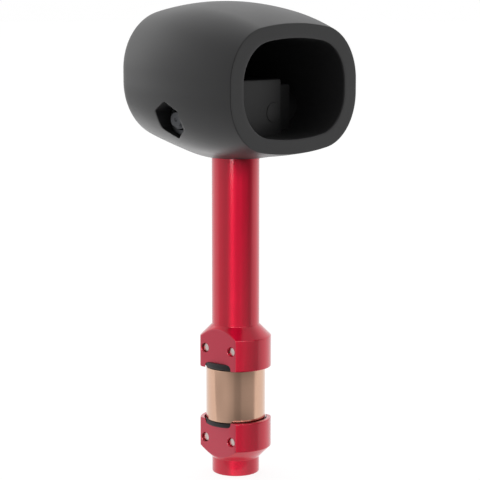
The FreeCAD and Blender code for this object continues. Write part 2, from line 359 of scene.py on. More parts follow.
# %% [markdown]
# Under the head the barrel flows into a short neck round the stem. A separate cone would leave a
# crease, so the skin itself is pulled down: where the neck's flare lies lower than the barrel, the
# height becomes the soft minimum of the two, which rounds the place where they meet.

# %% The neck, pulled out of the underside
NECK_FOOT, NECK_REACH, NECK_BLEND = 7.1, 20.8, 1.2
# The flare rises by the slope times the distance from the foot, plus the curve times its square
NECK_SLOPE, NECK_CURVE = 0.177, 0.0256


def soft_minimum(a, b, blend):
    """The smaller of two values, eased by a parabola over the blend where they are close."""
    return np.minimum(a, b) - np.maximum(blend - np.abs(a - b), 0) ** 2 / (4 * blend)


out = np.maximum(np.hypot(skin[..., 0], skin[..., 1]) - NECK_FOOT, 0)
flare = NECK + NECK_SLOPE * out + NECK_CURVE * out ** 2
inner_count = len(inner_edge) + len(inside) + len(floor_round) + len(shrink)
outer_rows = np.arange(len(skin)) < len(skin) - inner_count
under = outer_rows[:, None] & (skin[..., 2] < CROSS) & (out < NECK_REACH)
pulled = np.maximum(soft_minimum(skin[..., 2], flare, NECK_BLEND), NECK)
skin[..., 2] = np.where(under, pulled, skin[..., 2])
head = surface("head_moulding", skin)
print("head skin with neck", len(head.data.polygons), "faces")

# %% [markdown]
# Inside the hollow stands a boss that grips the stem, in two steps: a narrow block at the front, and
# behind it a wider and lower one. A plain cube would do for the outline, but moulded blocks have
# rounded corners and edges. So each is a rounded outline carried upwards to a top whose height depends
# on x alone, which also gives it shoulders.

# %% The two blocks of the boss, as half width, half depth, top and shoulder
FRONT_BLOCK = (7.6, 9.4, 106.1, 0.7)
REAR_BLOCK = (13.6, 7.4, 104.5, 1.0)
BOSS_FOOT, BOSS_ROUND, BOSS_EDGE, SQUARE_SHARE = 90.0, 0.6, 0.4, 1.5
BLOCK_COLUMNS, WALL_ROWS, BREAK_ROWS, TOP_ROWS = 240, 24, 6, 20


def block_outline(half_width, half_depth, angle, inset):
    """Rounded rectangle drawn in by the inset.

    The angle's cosine and sine, stretched and clipped, give a square ring, and a small circle is added.
    """
    x, y = np.cos(angle), np.sin(angle)
    reach_x, reach_y = half_width - BOSS_ROUND, half_depth - BOSS_ROUND
    square_x, square_y = np.clip(SQUARE_SHARE * x, -1, 1), np.clip(SQUARE_SHARE * y, -1, 1)
    spread = BOSS_ROUND - inset
    return reach_x * square_x + spread * x, reach_y * square_y + spread * y


def block_top(half_width, top, shoulder, x):
    """Height of the block at x: level, with a quarter-round shoulder along each side."""
    past = np.clip(np.abs(x) - (half_width - shoulder), 0, shoulder)
    return top - shoulder + np.sqrt(shoulder ** 2 - past ** 2)


def block(half_width, half_depth, top, shoulder):
    """Closed grid of a block: foot, upright wall, a small round along the top edge, and the top."""
    angle = round_angles(BLOCK_COLUMNS)
    rise = np.linspace(0, 1, WALL_ROWS)[:, None]
    turn = np.linspace(0, np.pi / 2, BREAK_ROWS)[1:, None]
    share = np.linspace(1, 0, TOP_ROWS)[1:, None]
    wall_x, wall_y = (part + 0 * rise for part in block_outline(half_width, half_depth, angle, 0))
    wall_top = block_top(half_width, top, shoulder, wall_x)
    wall_z = BOSS_FOOT + rise * (wall_top - BOSS_EDGE - BOSS_FOOT)
    edge_x, edge_y = block_outline(half_width, half_depth, angle, BOSS_EDGE * (1 - np.cos(turn)))
    edge_z = wall_top[:1] - BOSS_EDGE * (1 - np.sin(turn))
    top_x, top_y = share * edge_x[-1], share * edge_y[-1]
    top_z = block_top(half_width, top, shoulder, top_x)
    middle = 0 * angle
    return np.stack([
        np.vstack([middle, wall_x, edge_x, top_x]),
        np.vstack([middle, wall_y, edge_y, top_y]),
        np.vstack([middle + BOSS_FOOT, wall_z, edge_z, top_z]),
    ], -1)


combine(head, surface("rear_block", block(*REAR_BLOCK)), "UNION")
combine(head, surface("front_block", block(*FRONT_BLOCK)), "UNION")
print("head with boss", len(head.data.polygons), "faces")

# %% [markdown]
# A round bridge on each side of the boss carries the cross bolt. It is a plain bar whose ends are
# buried in the walls. The boss's front also has a low round mark, such as the pin leaves that pushes
# a moulding out of its mould. A bump in the material could fake it, but as a form it catches the light.

# %% Bridge, and the round mark on the boss
BRIDGE_RADIUS, BRIDGE_END = 5.8, 19.9
MARK_X, MARK_Z, MARK_RADIUS, MARK_HEIGHT, MARK_EDGE, MARK_ROOT = 4.3, 97.3, 2.6, 0.12, 0.1, 1.0

bridge = turned(bar(BRIDGE_RADIUS, -BRIDGE_END, BRIDGE_END))
combine(head, surface("bridge", across(bridge, 0, CROSS)), "UNION")
mark = turned(bar(MARK_RADIUS, MARK_ROOT, -MARK_HEIGHT, 0, MARK_EDGE), SMALL_COLUMNS)
boss_front = FRONT_BLOCK[1]
mark = np.stack([mark[..., 0] + MARK_X, mark[..., 2] - boss_front, mark[..., 1] + MARK_Z], -1)
combine(head, surface("round_mark", mark), "UNION")
print("head with boss and bridge", len(head.data.polygons), "faces")

# %% [markdown]
# The cross bolt's way is cut last, in one go: a six-sided pocket for the nut on one side, a plain
# passage in the middle, and a round counterbore for the bolt's head on the other. The cutter is again
# a grid, with one row for each step along X. Near both mouths it opens out in a quarter round that
# follows the barrel's own surface, so the pockets get the soft lip of a moulding. The stem's socket is
# a plain bore from below.

# %% Shapes of the bolt's way
NUT_SEAT, POCKET_HALF, POCKET_CORNER = 16.6, 4.15, 0.12
WASHER_SEAT, COUNTERBORE, PASSAGE = 17.5, 5.3, 2.75
LIP, LIP_LIFT, LIP_ROWS, OUTSIDE = 0.22, 0.02, 9, 31.0
WAY_COLUMNS = 240


def six_sided(angle, half, corner):
    """Radius of a hexagon by direction: half its width over the cosine, with corners cut back a little."""
    lean = np.mod(angle + FULL / 12, FULL / 6) - FULL / 12
    return np.minimum(half / np.cos(lean), half / np.cos(FULL / 12) - corner)


def pocket_mouth(radius, angle, sign):
    """Rows of (x, radius) for each direction, from clear of the head to the foot of the pocket's lip."""
    wide = radius + LIP
    side = barrel_side(wide * np.cos(angle), CROSS + wide * np.sin(angle)) + LIP_LIFT
    turn = np.linspace(np.pi / 2, 0, LIP_ROWS)[:, None]
    lip_x, lip_radius = side - LIP + LIP * np.sin(turn), radius + LIP * (1 - np.cos(turn))
    return sign * np.vstack([OUTSIDE + 0 * side[None], lip_x]), np.vstack([wide[None], lip_radius])


print("nut pocket", round(2 * six_sided(FULL / 12, POCKET_HALF, POCKET_CORNER), 2), "mm over its corners")

# %% Cutting the bolt's way and the stem's socket
SOCKET_RADIUS, SOCKET_TOP, SOCKET_EDGE, CLEAR = 6.4, 104.0, 0.3, 3.0

angle = round_angles(WAY_COLUMNS)[0]
hexagon = six_sided(angle, POCKET_HALF, POCKET_CORNER)
circle = 0 * angle
nut_x, nut_radius = pocket_mouth(hexagon, angle, -1)
bolt_x, bolt_radius = pocket_mouth(circle + COUNTERBORE, angle, 1)
way_x = np.vstack([
    nut_x[:1], nut_x, [circle - NUT_SEAT] * 2, [circle + WASHER_SEAT] * 2, bolt_x[::-1], bolt_x[:1]
])
way_radius = np.vstack([
    [circle], nut_radius, [hexagon], [circle + PASSAGE] * 2, [circle + COUNTERBORE],
    bolt_radius[::-1], [circle],
])
way = across(about_z(way_radius, angle, way_x), 0, CROSS)
combine(head, surface("bolt_way", way), "DIFFERENCE")
socket = turned(bar(SOCKET_RADIUS, NECK - CLEAR, SOCKET_TOP, 0, SOCKET_EDGE))
combine(head, surface("socket", socket), "DIFFERENCE")
place(head, "head", "head_shell", sharp=38)

# %% [markdown]
# ## Collars, stub and stem
#
# Both collars are turned from bar with a cone behind them: the upper one runs on into the stem, the
# lower one into a short stub with a tapped hole. Two spanner flats are milled on each, and the round
# recess for the rubber ring breaks out through the flats as a notch. All this can be written on the
# turned grid, and then no Boolean leaves long thin faces. In each direction a flat has its own distance
# from the axis, and the surface takes the soft minimum of that and its turned radius, which also breaks
# the flat's edge. Where the flat lies inside the recess, the wall is gone, so the end drops to the
# recess's floor.

# %% Sizes shared by both collars
STEM, COLLAR, FLAT, FLAT_EDGE = 6.35, 9.525, 7.145, 0.22
RECESS, RING_DEPTH, RECESS_ROUND = 8.45, 1.6, 0.9
SPIGOT_SOCKET, SOCKET_DEPTH = 5.55, 8.14
LOWER_END, UPPER_END = 15.125, 29.125
LOWER_COLLAR, UPPER_COLLAR, CONE = 7.65, 8.35, 3.175
SOCKET_CORNER, SOCKET_LIP, RECESS_LIP = 0.2, 0.12, 0.1
COLLAR_EDGE, CONE_EDGE, CONE_FOOT, TAIL_EDGE = 0.3, 0.35, 0.3, 0.5


def collar_profile(collar_length, tail):
    """(radius, distance from the open end, round) from the spigot's socket over the open end to the tail."""
    return rounded([
        (0, SOCKET_DEPTH, 0),
        (SPIGOT_SOCKET, SOCKET_DEPTH, SOCKET_CORNER),
        (SPIGOT_SOCKET, RING_DEPTH, SOCKET_LIP),
        (RECESS, RING_DEPTH, RECESS_ROUND),
        (RECESS, 0, RECESS_LIP),
        (COLLAR, 0, COLLAR_EDGE),
        (COLLAR, collar_length, CONE_EDGE),
        (STEM, collar_length + CONE, CONE_FOOT),
    ] + tail)


def recess_depth(radius):
    """Depth of the ring's recess at a radius: level, then a quarter round up to its wall, and none beyond."""
    past = np.clip(radius - (RECESS - RECESS_ROUND), 0, RECESS_ROUND)
    depth = RING_DEPTH - RECESS_ROUND + np.sqrt(RECESS_ROUND ** 2 - past ** 2)
    return np.where(radius < RECESS, depth, 0)


def with_flats(points):
    """Spanner flats: the radius is the soft minimum of the turned one and the flat's.

    The flat's is its distance from the axis over the cosine of the direction. The open end drops to the
    recess's floor where the recess breaks out through a flat.
    """
    radius = np.maximum(np.hypot(points[..., 0], points[..., 1]), TINY)
    reach = FLAT * radius / np.maximum(np.abs(points[..., 0]), TINY)
    share = soft_minimum(radius, reach, FLAT_EDGE) / radius
    shaped = points * np.stack([share, share, np.ones_like(share)], -1)
    dropped = np.maximum(points[..., 2], recess_depth(reach))
    shaped[..., 2] = np.where(radius > reach, dropped, points[..., 2])
    return shaped


print("notch in the flats", recess_depth(FLAT), "mm deep")

# %% The lower collar with its stub, and the upper collar with the stem
COLLAR_COLUMNS, COLLAR_STEP, STEM_STEP, OVERRUN = 480, 0.3, 4.0, 1
ROD_HOLE, ROD_DEPTH = 2.5, 5.2

rod_floor = LOWER_END - ROD_DEPTH
rod_hole = [(ROD_HOLE, LOWER_END, 0), (ROD_HOLE, rod_floor, 0), (0, rod_floor, 0)]
stub_tail = [(STEM, LOWER_END, TAIL_EDGE)] + rod_hole
lower = with_flats(turned(spaced(collar_profile(LOWER_COLLAR, stub_tail), COLLAR_STEP), COLLAR_COLUMNS))
lower[..., 2] = LOWER_END - lower[..., 2]
lower_collar = surface("lower_collar_red", lower)

stem_length = SOCKET_TOP - UPPER_END
stem_profile = collar_profile(UPPER_COLLAR, [(STEM, stem_length, TAIL_EDGE), (0, stem_length, 0)])
near = stem_profile[:, 1] < UPPER_COLLAR + CONE + OVERRUN
split = np.nonzero(near)[0].max() + 1
stem_profile = np.vstack([spaced(stem_profile[:split], COLLAR_STEP), spaced(stem_profile[split:], STEM_STEP)])
upper = with_flats(turned(stem_profile, COLLAR_COLUMNS))
upper[..., 2] += UPPER_END
upper_stem = surface("upper_stem_red", upper)
print("collar grids", lower.shape[:2], "and", upper.shape[:2])

# %% [markdown]
# Two pins cross each collar, one on either side of the sleeve's neck, and the cross bolt goes through
# the top of the stem. These holes run across the turned grid, so they are drilled with Booleans, as
# the real ones are drilled after turning. Each pin hole opens out a little at the flats.

# %% Drilling for the pins and the cross bolt
PIN_RADIUS, PIN_OFFSET, PIN_LEVEL, PIN_HALF, PIN_EDGE = 1.19, 4.65, 5.25, 6.445, 0.22
PIN_PLAY, PIN_LIP = 0.04, 0.14
BOLT_HOLE = 2.75


def pin_cutter(name, y, z):
    """Tool for a pin hole: a long bar along X that opens out a little at both flats."""
    hole, far = PIN_RADIUS + PIN_PLAY, COLLAR + OVERRUN
    half = [(0, far, 0), (hole + PIN_LIP, far, 0), (hole + PIN_LIP, FLAT, 0), (hole, FLAT - PIN_LIP, 0)]
    other = [(radius, -x, size) for radius, x, size in half[::-1]]
    return surface(name, across(turned(rounded(half + other), SMALL_COLUMNS), y, z))


for side in (-1, 1):
    combine(lower_collar, pin_cutter("drill", side * PIN_OFFSET, LOWER_END - PIN_LEVEL), "DIFFERENCE")
    combine(upper_stem, pin_cutter("drill", side * PIN_OFFSET, UPPER_END + PIN_LEVEL), "DIFFERENCE")
bolt_drill = turned(bar(BOLT_HOLE, -COLLAR, COLLAR), SMALL_COLUMNS)
combine(upper_stem, surface("drill", across(bolt_drill, 0, CROSS)), "DIFFERENCE")
place(lower_collar, "lower", "lower_collar")
place(upper_stem, "head", "upper_stem")

# %% [markdown]
# ## Sleeve, rings and pins
#
# The sleeve is one turned bronze piece with a grooved spigot at each end. Half of it is written down,
# and its mirror image gives the other half, so both ends stay alike. The head's weight presses it down
# on the lower ring, so its lower shoulder lies a little inside the recess there, and that ring is
# thinner by as much.

# %% Bronze sleeve
SLEEVE, SLEEVE_SHOULDER, SLEEVE_MIDDLE, RING_SETTLED = 7.9375, 6.95, 22.125, 0.35
SPIGOT, GROOVE, GROOVE_NEAR, GROOVE_FAR, SPIGOT_END = 5.5, 3.26, 10.86, 13.64, 14.84
SLEEVE_EDGE, SPIGOT_ROOT, GROOVE_EDGE, SPIGOT_EDGE = 0.3, 0.15, 0.1, 0.3
SLEEVE_COLUMNS = 256

half_sleeve = [
    (SLEEVE, SLEEVE_SHOULDER, SLEEVE_EDGE),
    (SPIGOT, SLEEVE_SHOULDER, SPIGOT_ROOT),
    (SPIGOT, GROOVE_NEAR, GROOVE_EDGE),
    (GROOVE, GROOVE_NEAR, GROOVE_EDGE),
    (GROOVE, GROOVE_FAR, GROOVE_EDGE),
    (SPIGOT, GROOVE_FAR, GROOVE_EDGE),
    (SPIGOT, SPIGOT_END, SPIGOT_EDGE),
    (0, SPIGOT_END, 0),
]
other_half = [(radius, -height, size) for radius, height, size in half_sleeve[::-1]]
settled = -SLEEVE_SHOULDER - RING_SETTLED
other_half[-2:] = [(SPIGOT, settled, SPIGOT_ROOT), (SLEEVE, settled, SLEEVE_EDGE)]
sleeve_points = turned(rounded(other_half + half_sleeve), SLEEVE_COLUMNS)
sleeve_points[..., 2] += SLEEVE_MIDDLE
place(surface("coupling_sleeve_bronze", sleeve_points), "sleeve", "coupling_sleeve")

# %% [markdown]
# The rubber rings are flat rings with soft outer edges. A torus would be too round, so the ring's cross
# section is a rounded profile that starts and ends on its lower face, and the grid's rows form a loop.

# %% Rubber rings
RING_OUTER, RING_INNER, RING_SOFT, BORE_SOFT = 8.25, 5.8, 0.6, 0.2
for name, low, high, body in (
    ("lower_ring", LOWER_END - RING_DEPTH, LOWER_END - RING_SETTLED, "lower"),
    ("upper_ring", UPPER_END, UPPER_END + RING_DEPTH, "head"),
):
    between = (RING_OUTER + RING_INNER) / 2
    ring = rounded([
        (between, low, 0), (RING_OUTER, low, RING_SOFT), (RING_OUTER, high, RING_SOFT),
        (RING_INNER, high, BORE_SOFT), (RING_INNER, low, BORE_SOFT), (between, low, 0),
    ])
    place(surface(name + "_rubber", turned(ring[:-1]), loop=True), body, name)

# %% [markdown]
# The pins are plain ground pins, and only their faced ends show. They stop a little short of the flats,
# so each end lies sunk in its own hole, with a dark ring round it. A disc on the flat would be less
# work, but would lose that ring.

# %% Pins
pin = turned(bar(PIN_RADIUS, -PIN_HALF, PIN_HALF, PIN_EDGE, PIN_EDGE), SMALL_COLUMNS)
pin_levels = (("lower", LOWER_END - PIN_LEVEL, "lower"), ("upper", UPPER_END + PIN_LEVEL, "head"))
for end, height, body in pin_levels:
    for side, y in (("front", -PIN_OFFSET), ("rear", PIN_OFFSET)):
        name = f"{end}_pin_{side}"
        place(surface(name + "_steel", across(pin, y, height)), body, name)

# %% [markdown]
# ## Cross bolt, nut and washer
#
# The bolt's point shows in the nut pocket, so it gets its thread: the radius falls and rises once for
# every pitch, and the pattern moves along by one pitch for each turn, which makes it a helix. A Screw
# modifier could wind a profile instead, but its ends would need closing. The bolt's button head has a
# six-sided socket.

# %% Shank with its thread and dimpled point
BOLT, BOLT_TIP, BOLT_BEARING, BOLT_PITCH, BOLT_THREAD = 2.5, -22.7, 18.5, 0.8, 0.42
THREAD_END, BOLT_POINT, DIMPLE = -6.0, 0.7, 0.55
# Flanks against those of a plain zigzag, and how far it is lowered, which leaves the crests flat
FLANK_SHARE, CREST_SHARE = 1.6, 0.3
BOLT_COLUMNS, SHANK_ROWS = 96, 900

angle = round_angles(BOLT_COLUMNS)
shank = np.linspace(BOLT_TIP, BOLT_BEARING, SHANK_ROWS)[:, None]
phase = np.mod(shank / BOLT_PITCH - angle / FULL, 1)
valley = np.clip(FLANK_SHARE * np.abs(2 * phase - 1) - CREST_SHARE, 0, 1)
runout = np.clip((THREAD_END - shank) / BOLT_PITCH, 0, 1)
shank_radius = BOLT - BOLT_THREAD * valley * runout
shank_radius = np.minimum(shank_radius, BOLT - BOLT_POINT + (shank - BOLT_TIP))
print("thread of", round((THREAD_END - BOLT_TIP) / BOLT_PITCH, 1), "turns")

# %% Button head with its socket, and the whole bolt
BOLT_HEAD, BOLT_HEIGHT, BOLT_CROWN = 4.75, 2.75, 1.7
CROWN_IN, CROWN_DOWN, CROWN_ROUND, CROWN_EDGE = 0.75, 0.55, 1.2, 0.4
HEAD_FOOT_EDGE, HEAD_SIDE_EDGE = 0.1, 0.2
KEY_HALF, KEY_DEPTH, KEY_CORNER, KEY_LIP, KEY_MOUTH = 1.5, 1.6, 0.05, 0.08, 1.9

outer = BOLT_BEARING + BOLT_HEIGHT
button = rounded([
    (BOLT, BOLT_BEARING, 0),
    (BOLT_HEAD, BOLT_BEARING, HEAD_FOOT_EDGE),
    (BOLT_HEAD, outer - BOLT_CROWN, HEAD_SIDE_EDGE),
    (BOLT_HEAD - CROWN_IN, outer - CROWN_DOWN, CROWN_ROUND),
    (BOLT_HEAD - BOLT_CROWN, outer, CROWN_EDGE),
    (KEY_MOUTH, outer, 0),
])
key = six_sided(angle, KEY_HALF, KEY_CORNER)
once = np.ones_like(angle)
bolt_radius = np.vstack([
    0 * once, DIMPLE * once, shank_radius, button[1:, :1] * once, key + KEY_LIP, key, key, 0 * once
])
bolt_x = np.concatenate([
    [BOLT_TIP + DIMPLE, BOLT_TIP], shank[:, 0], button[1:, 1],
    [outer, outer - KEY_LIP, outer - KEY_DEPTH, outer - KEY_DEPTH],
])[:, None]
bolt_points = across(about_z(bolt_radius, angle, bolt_x), 0, CROSS)
place(surface("cross_bolt_steel", bolt_points), "head", "cross_bolt")

# %% [markdown]
# A nut is a hexagon whose corners are cut by a cone on both faces. On a grid that is the smaller of two
# radii: the one of the turned profile, bevels and all, and the hexagon's in that direction. The washer
# is a plain turned ring with one edge rounder than the others, as a punched washer has.

# %% Nut
NUT_HALF, NUT_THICK, NUT_BORE, NUT_CORNER = 4.0, 4.0, 2.55, 0.03
FACE_IN, NUT_REACH, NUT_BEVEL, BORE_BEVEL, NUT_SEAM, NUT_STEP = 0.05, 0.7, 0.42, 0.3, 3.2, 0.12
NUT_COLUMNS = 240

angle = round_angles(NUT_COLUMNS)
nut_profile = rounded([
    (NUT_SEAM, -NUT_THICK, 0),
    (NUT_HALF - FACE_IN, -NUT_THICK, 0),
    (NUT_HALF + NUT_REACH, NUT_BEVEL - NUT_THICK, 0),
    (NUT_HALF + NUT_REACH, -NUT_BEVEL, 0),
    (NUT_HALF - FACE_IN, 0, 0),
    (NUT_BORE + BORE_BEVEL, 0, 0),
    (NUT_BORE, -BORE_BEVEL, 0),
    (NUT_BORE, BORE_BEVEL - NUT_THICK, 0),
    (NUT_BORE + BORE_BEVEL, -NUT_THICK, 0),
    (NUT_SEAM, -NUT_THICK, 0),
], steps=2)
nut_profile = spaced(nut_profile, NUT_STEP)[:-1]
nut_radius = np.minimum(nut_profile[:, :1], six_sided(angle, NUT_HALF, NUT_CORNER))
nut_points = across(about_z(nut_radius, angle, nut_profile[:, 1:] - NUT_SEAT), 0, CROSS)
place(surface("cross_nut_steel", nut_points, loop=True), "head", "cross_nut")

# %% Washer
WASHER, WASHER_THICK, WASHER_BORE, WASHER_SEAM = 5.0, 1.0, 2.75, 3.8
WASHER_EDGE, WASHER_ROUND = 0.15, 0.3

washer = rounded([
    (WASHER_SEAM, 0, 0), (WASHER, 0, WASHER_EDGE), (WASHER, WASHER_THICK, WASHER_ROUND),
    (WASHER_BORE, WASHER_THICK, WASHER_EDGE), (WASHER_BORE, 0, WASHER_EDGE), (WASHER_SEAM, 0, 0),
])
washer[:, 1] += WASHER_SEAT
washer_points = across(turned(washer[:-1]), 0, CROSS)
place(surface("cross_washer_steel", washer_points, loop=True), "head", "cross_washer")

# %% [markdown]
# ## Finishes
#
# Each finish starts from a real material. Colours are written as sRGB hex, as a paint chart gives
# them, and one function turns them to the linear values that the renderer needs. Patterns are placed
# in object coordinates, which are metres here, so the scale of a pattern is one over its real size.


# %% Colour and node helpers
def colour(code):
    """Linear RGBA of an sRGB hex code: the sRGB curve, undone for each channel."""
    part = np.array([int(code[i:i + 2], 16) for i in (1, 3, 5)]) / 255
    linear = np.where(part <= 0.04045, part / 12.92, ((part + 0.055) / 1.055) ** 2.4)
    return (*linear, 1.0)


def add_node(tree, kind, inputs=None, **settings):
    """Adds a node: settings are its properties, inputs are socket values or the sockets that feed them."""
    made = tree.nodes.new(kind)
    for name, value in settings.items():
        setattr(made, name, value)
    for name, value in (inputs or {}).items():
        if isinstance(value, bpy.types.NodeSocket):
            tree.links.new(value, made.inputs[name])
        else:
            made.inputs[name].default_value = value
    return made


print("the middle grey #808080 is", round(colour("#808080")[0], 3), "in linear light")


# %% Helpers for a finish
def new_material(name):
    """Empty node material, its node tree, and its object coordinates."""
    material = bpy.data.materials.new(name)
    material.use_nodes = True
    tree = material.node_tree
    tree.nodes.clear()
    return material, tree, add_node(tree, "ShaderNodeTexCoord").outputs["Object"]


def scale_of(size):
    """Scale of a noise pattern whose grains are about the given size, in millimetres."""
    return 1 / (size * MM)


def mottled(tree, where, size, dark, pale, detail=3.0):
    """Noise with grains of the given size, and a tone that drifts with it between two hex codes."""
    noise = add_node(tree, "ShaderNodeTexNoise", {"Vector": where, "Scale": scale_of(size), "Detail": detail})
    pattern, ends = noise.outputs["Fac"], {"A": colour(dark), "B": colour(pale)}
    tone = add_node(tree, "ShaderNodeMix", {"Factor": pattern, **ends}, data_type="RGBA")
    return pattern, tone.outputs["Result"]


def finish(material, look, names, relief, strength, depth):
    """Shader with the given look over a relief, whose depth is in millimetres, on the named pieces."""
    tree = material.node_tree
    bump = add_node(tree, "ShaderNodeBump", {"Height": relief, "Strength": strength, "Distance": depth * MM})
    shader = add_node(tree, "ShaderNodeBsdfPrincipled", {**look, "Normal": bump.outputs["Normal"]})
    add_node(tree, "ShaderNodeOutputMaterial", {"Surface": shader.outputs[0]})
    for name in names:
        mesh = bpy.data.objects[name].data
        mesh.materials.clear()
        mesh.materials.append(material)
    print(material.name, "on", ", ".join(names))


# %% [markdown]
# The head is nylon, moulded in charcoal grey. Its mould was etched, so the surface has a fine matt
# grain, and the eye sees a wide soft sheen in place of clear reflections. One flat grey would look like
# paper, so tone and sheen drift a little over a centimetre, as they do where nylon cools unevenly. An
# etched grain is nearer 0.1 mm, and is drawn at 0.45 mm so that it shows at this size.

# %% Head: moulded nylon
NYLON_GRAIN, NYLON_CLOUD = 0.45, 14

nylon, tree, where = new_material("moulded_nylon_charcoal")
cloud, tone = mottled(tree, where, NYLON_CLOUD, "#2B2B2C", "#323233")
grain = add_node(tree, "ShaderNodeTexNoise", {"Vector": where, "Scale": scale_of(NYLON_GRAIN), "Detail": 2.0})
sheen = add_node(tree, "ShaderNodeMapRange", {"Value": cloud, "To Min": 0.42, "To Max": 0.52})
look = {"Base Color": tone, "Roughness": sheen.outputs["Result"], "IOR": 1.53}
finish(nylon, look, ["head_moulding"], relief=grain.outputs["Fac"], strength=0.25, depth=0.04)

# %% [markdown]
# Stem and collars are aluminium, turned and then anodised: the oxide layer takes up red dye, and light
# passes it twice, so the metal itself looks red. Turning leaves fine grooves round the axis. They
# spread the light along the stem and keep it narrow round it, which is why the red is anisotropic. The
# layer's own clear surface adds white gloss on top, so the shader has a coat. The flats are milled
# after turning and have no such grooves. Their paler, greyer red is a painted reflection of the white
# backdrop, and they are found by their distance from the middle plane. Feed marks are nearer 0.1 mm,
# and are drawn at 0.25 mm so that they show.

# %% Stem and collars: red anodised aluminium
FEED_MARKS, DYE_CLOUD = 0.25, 6
MILLED_FROM, MILLED_TO = 7.0 * MM, 7.1 * MM

anodised, tree, where = new_material("anodised_aluminium_red")
_, dyed = mottled(tree, where, DYE_CLOUD, "#C80A30", "#D00D35")
along = add_node(tree, "ShaderNodeSeparateXYZ", {"Vector": where})
sideways = add_node(tree, "ShaderNodeMath", {0: along.outputs["X"]}, operation="ABSOLUTE")
# Painted reflection: the flats get a paler, greyer red, which stands for the white backdrop they mirror
milled_flat_reflection = add_node(tree, "ShaderNodeMapRange", {
    "Value": sideways.outputs[0], "From Min": MILLED_FROM, "From Max": MILLED_TO})
tone = add_node(tree, "ShaderNodeMix", {
    "Factor": milled_flat_reflection.outputs["Result"], "A": dyed, "B": colour("#C2364C")}, data_type="RGBA")
lines = add_node(tree, "ShaderNodeTexNoise", {
    "W": along.outputs["Z"], "Scale": scale_of(FEED_MARKS), "Detail": 2.0}, noise_dimensions="1D")
satin = add_node(tree, "ShaderNodeMapRange", {"Value": lines.outputs["Fac"], "To Min": 0.48, "To Max": 0.54})
grooves = add_node(tree, "ShaderNodeTangent", direction_type="RADIAL", axis="Z")
look = {
    "Base Color": tone.outputs["Result"], "Metallic": 1.0, "Roughness": satin.outputs["Result"],
    "Anisotropic": 0.78, "Anisotropic Rotation": 0.25, "Tangent": grooves.outputs["Tangent"],
    "Coat Weight": 1.0, "Coat Roughness": 0.12, "Coat IOR": 1.5,
}
red_pieces = ("upper_stem_red", "lower_collar_red")
finish(anodised, look, red_pieces, relief=lines.outputs["Fac"], strength=0.06, depth=0.03)

# %% [markdown]
# The sleeve is bearing bronze, finish-turned under a thin clear lacquer that keeps it from going brown.
# A fine cut leaves it nearly a mirror, so it shows the room in upright bands, pale at both sides and
# darker in the middle. Rings from the tool run round it and soften the bands a little. Like the feed
# marks above, they are drawn coarser than real ones, at 0.3 mm. The lacquer's gloss has no colour, and
# takes some of the yellow away.

# %% Sleeve: turned bronze
TOOL_RINGS, BRONZE_CLOUD = 0.3, 4

bronze, tree, where = new_material("bearing_bronze_turned")
_, tone = mottled(tree, where, BRONZE_CLOUD, "#D0A68C", "#D8AE94")
height = add_node(tree, "ShaderNodeSeparateXYZ", {"Vector": where}).outputs["Z"]
lines = add_node(tree, "ShaderNodeTexNoise", {
    "W": height, "Scale": scale_of(TOOL_RINGS), "Detail": 3.0}, noise_dimensions="1D")
satin = add_node(tree, "ShaderNodeMapRange", {"Value": lines.outputs["Fac"], "To Min": 0.14, "To Max": 0.22})
look = {
    "Base Color": tone, "Metallic": 1.0, "Roughness": satin.outputs["Result"],
    "Coat Weight": 0.7, "Coat Roughness": 0.12, "Coat IOR": 1.5,
}
finish(bronze, look, ["coupling_sleeve_bronze"], relief=lines.outputs["Fac"], strength=0.05, depth=0.03)

# %% [markdown]
# The rings are black rubber, pressed in a mould. Rubber is dull, and with time a faint bloom comes to
# its surface, so its black is never even: the eye sees a soft dark grey with paler specks.

# %% Rings: moulded rubber
RUBBER_BLOOM = 0.6

rubber, tree, where = new_material("moulded_rubber_black")
bloom, tone = mottled(tree, where, RUBBER_BLOOM, "#1E1C1E", "#2B282A")
look = {"Base Color": tone, "Roughness": 0.55, "IOR": 1.52}
finish(rubber, look, ("lower_ring_rubber", "upper_ring_rubber"), relief=bloom, strength=0.3, depth=0.05)

# %% [markdown]
# The pins are ground steel, cut to length and faced. Their ends are small bright discs, and what makes
# them look like steel is that no two places on them are quite alike: the facing tool leaves marks.

# %% Pins: ground steel
FACING_MARKS = 0.5

ground, tree, where = new_material("ground_steel_pins")
marks, tone = mottled(tree, where, FACING_MARKS, "#C9B9B4", "#E6DBD7", detail=4.0)
look = {"Base Color": tone, "Metallic": 1.0, "Roughness": 0.35}
pins = [f"{end}_pin_{side}_steel" for end in ("lower", "upper") for side in ("front", "rear")]
finish(ground, look, pins, relief=marks, strength=0.25, depth=0.05)

# %% [markdown]
# Bolt, nut and washer are steel with a thin zinc plate that has gone dull. Such a plate is cloudy and
# slightly blue: its gloss changes from place to place, over a millimetre or two.

# %% Bolt, nut and washer: zinc-plated steel
ZINC_CLOUD = 1.5

zinc, tree, where = new_material("zinc_plated_steel_dull")
cloud, tone = mottled(tree, where, ZINC_CLOUD, "#48494C", "#626366", detail=4.0)
dull = add_node(tree, "ShaderNodeMapRange", {"Value": cloud, "To Min": 0.35, "To Max": 0.55})
look = {"Base Color": tone, "Metallic": 1.0, "Roughness": dull.outputs["Result"]}
fastener = ("cross_bolt_steel", "cross_nut_steel", "cross_washer_steel")
finish(zinc, look, fastener, relief=cloud, strength=0.15, depth=0.05)

# %% [markdown]
# ## Studio
#
# In the photograph the metal tells how the room was: the bronze shows pale bands at both sides, where
# it sees the white table and backdrop behind it, and grey bands in front, with the darkest one where
# the camera stands. So the floor here is a white sheet. Camera and reflections see it as nearly plain
# white, and it keeps a soft shadow. Its part in front of the beater exists for the camera alone: all
# other light passes it and meets the room's own brightness, which makes the grey bands.

# %% Floor: a white sheet, with its sizes in metres
SHEET_FRONT, SHEET_SIZE, SHEET_DROP = 0.013, 10.0, Vector((0, 0, -0.00005))

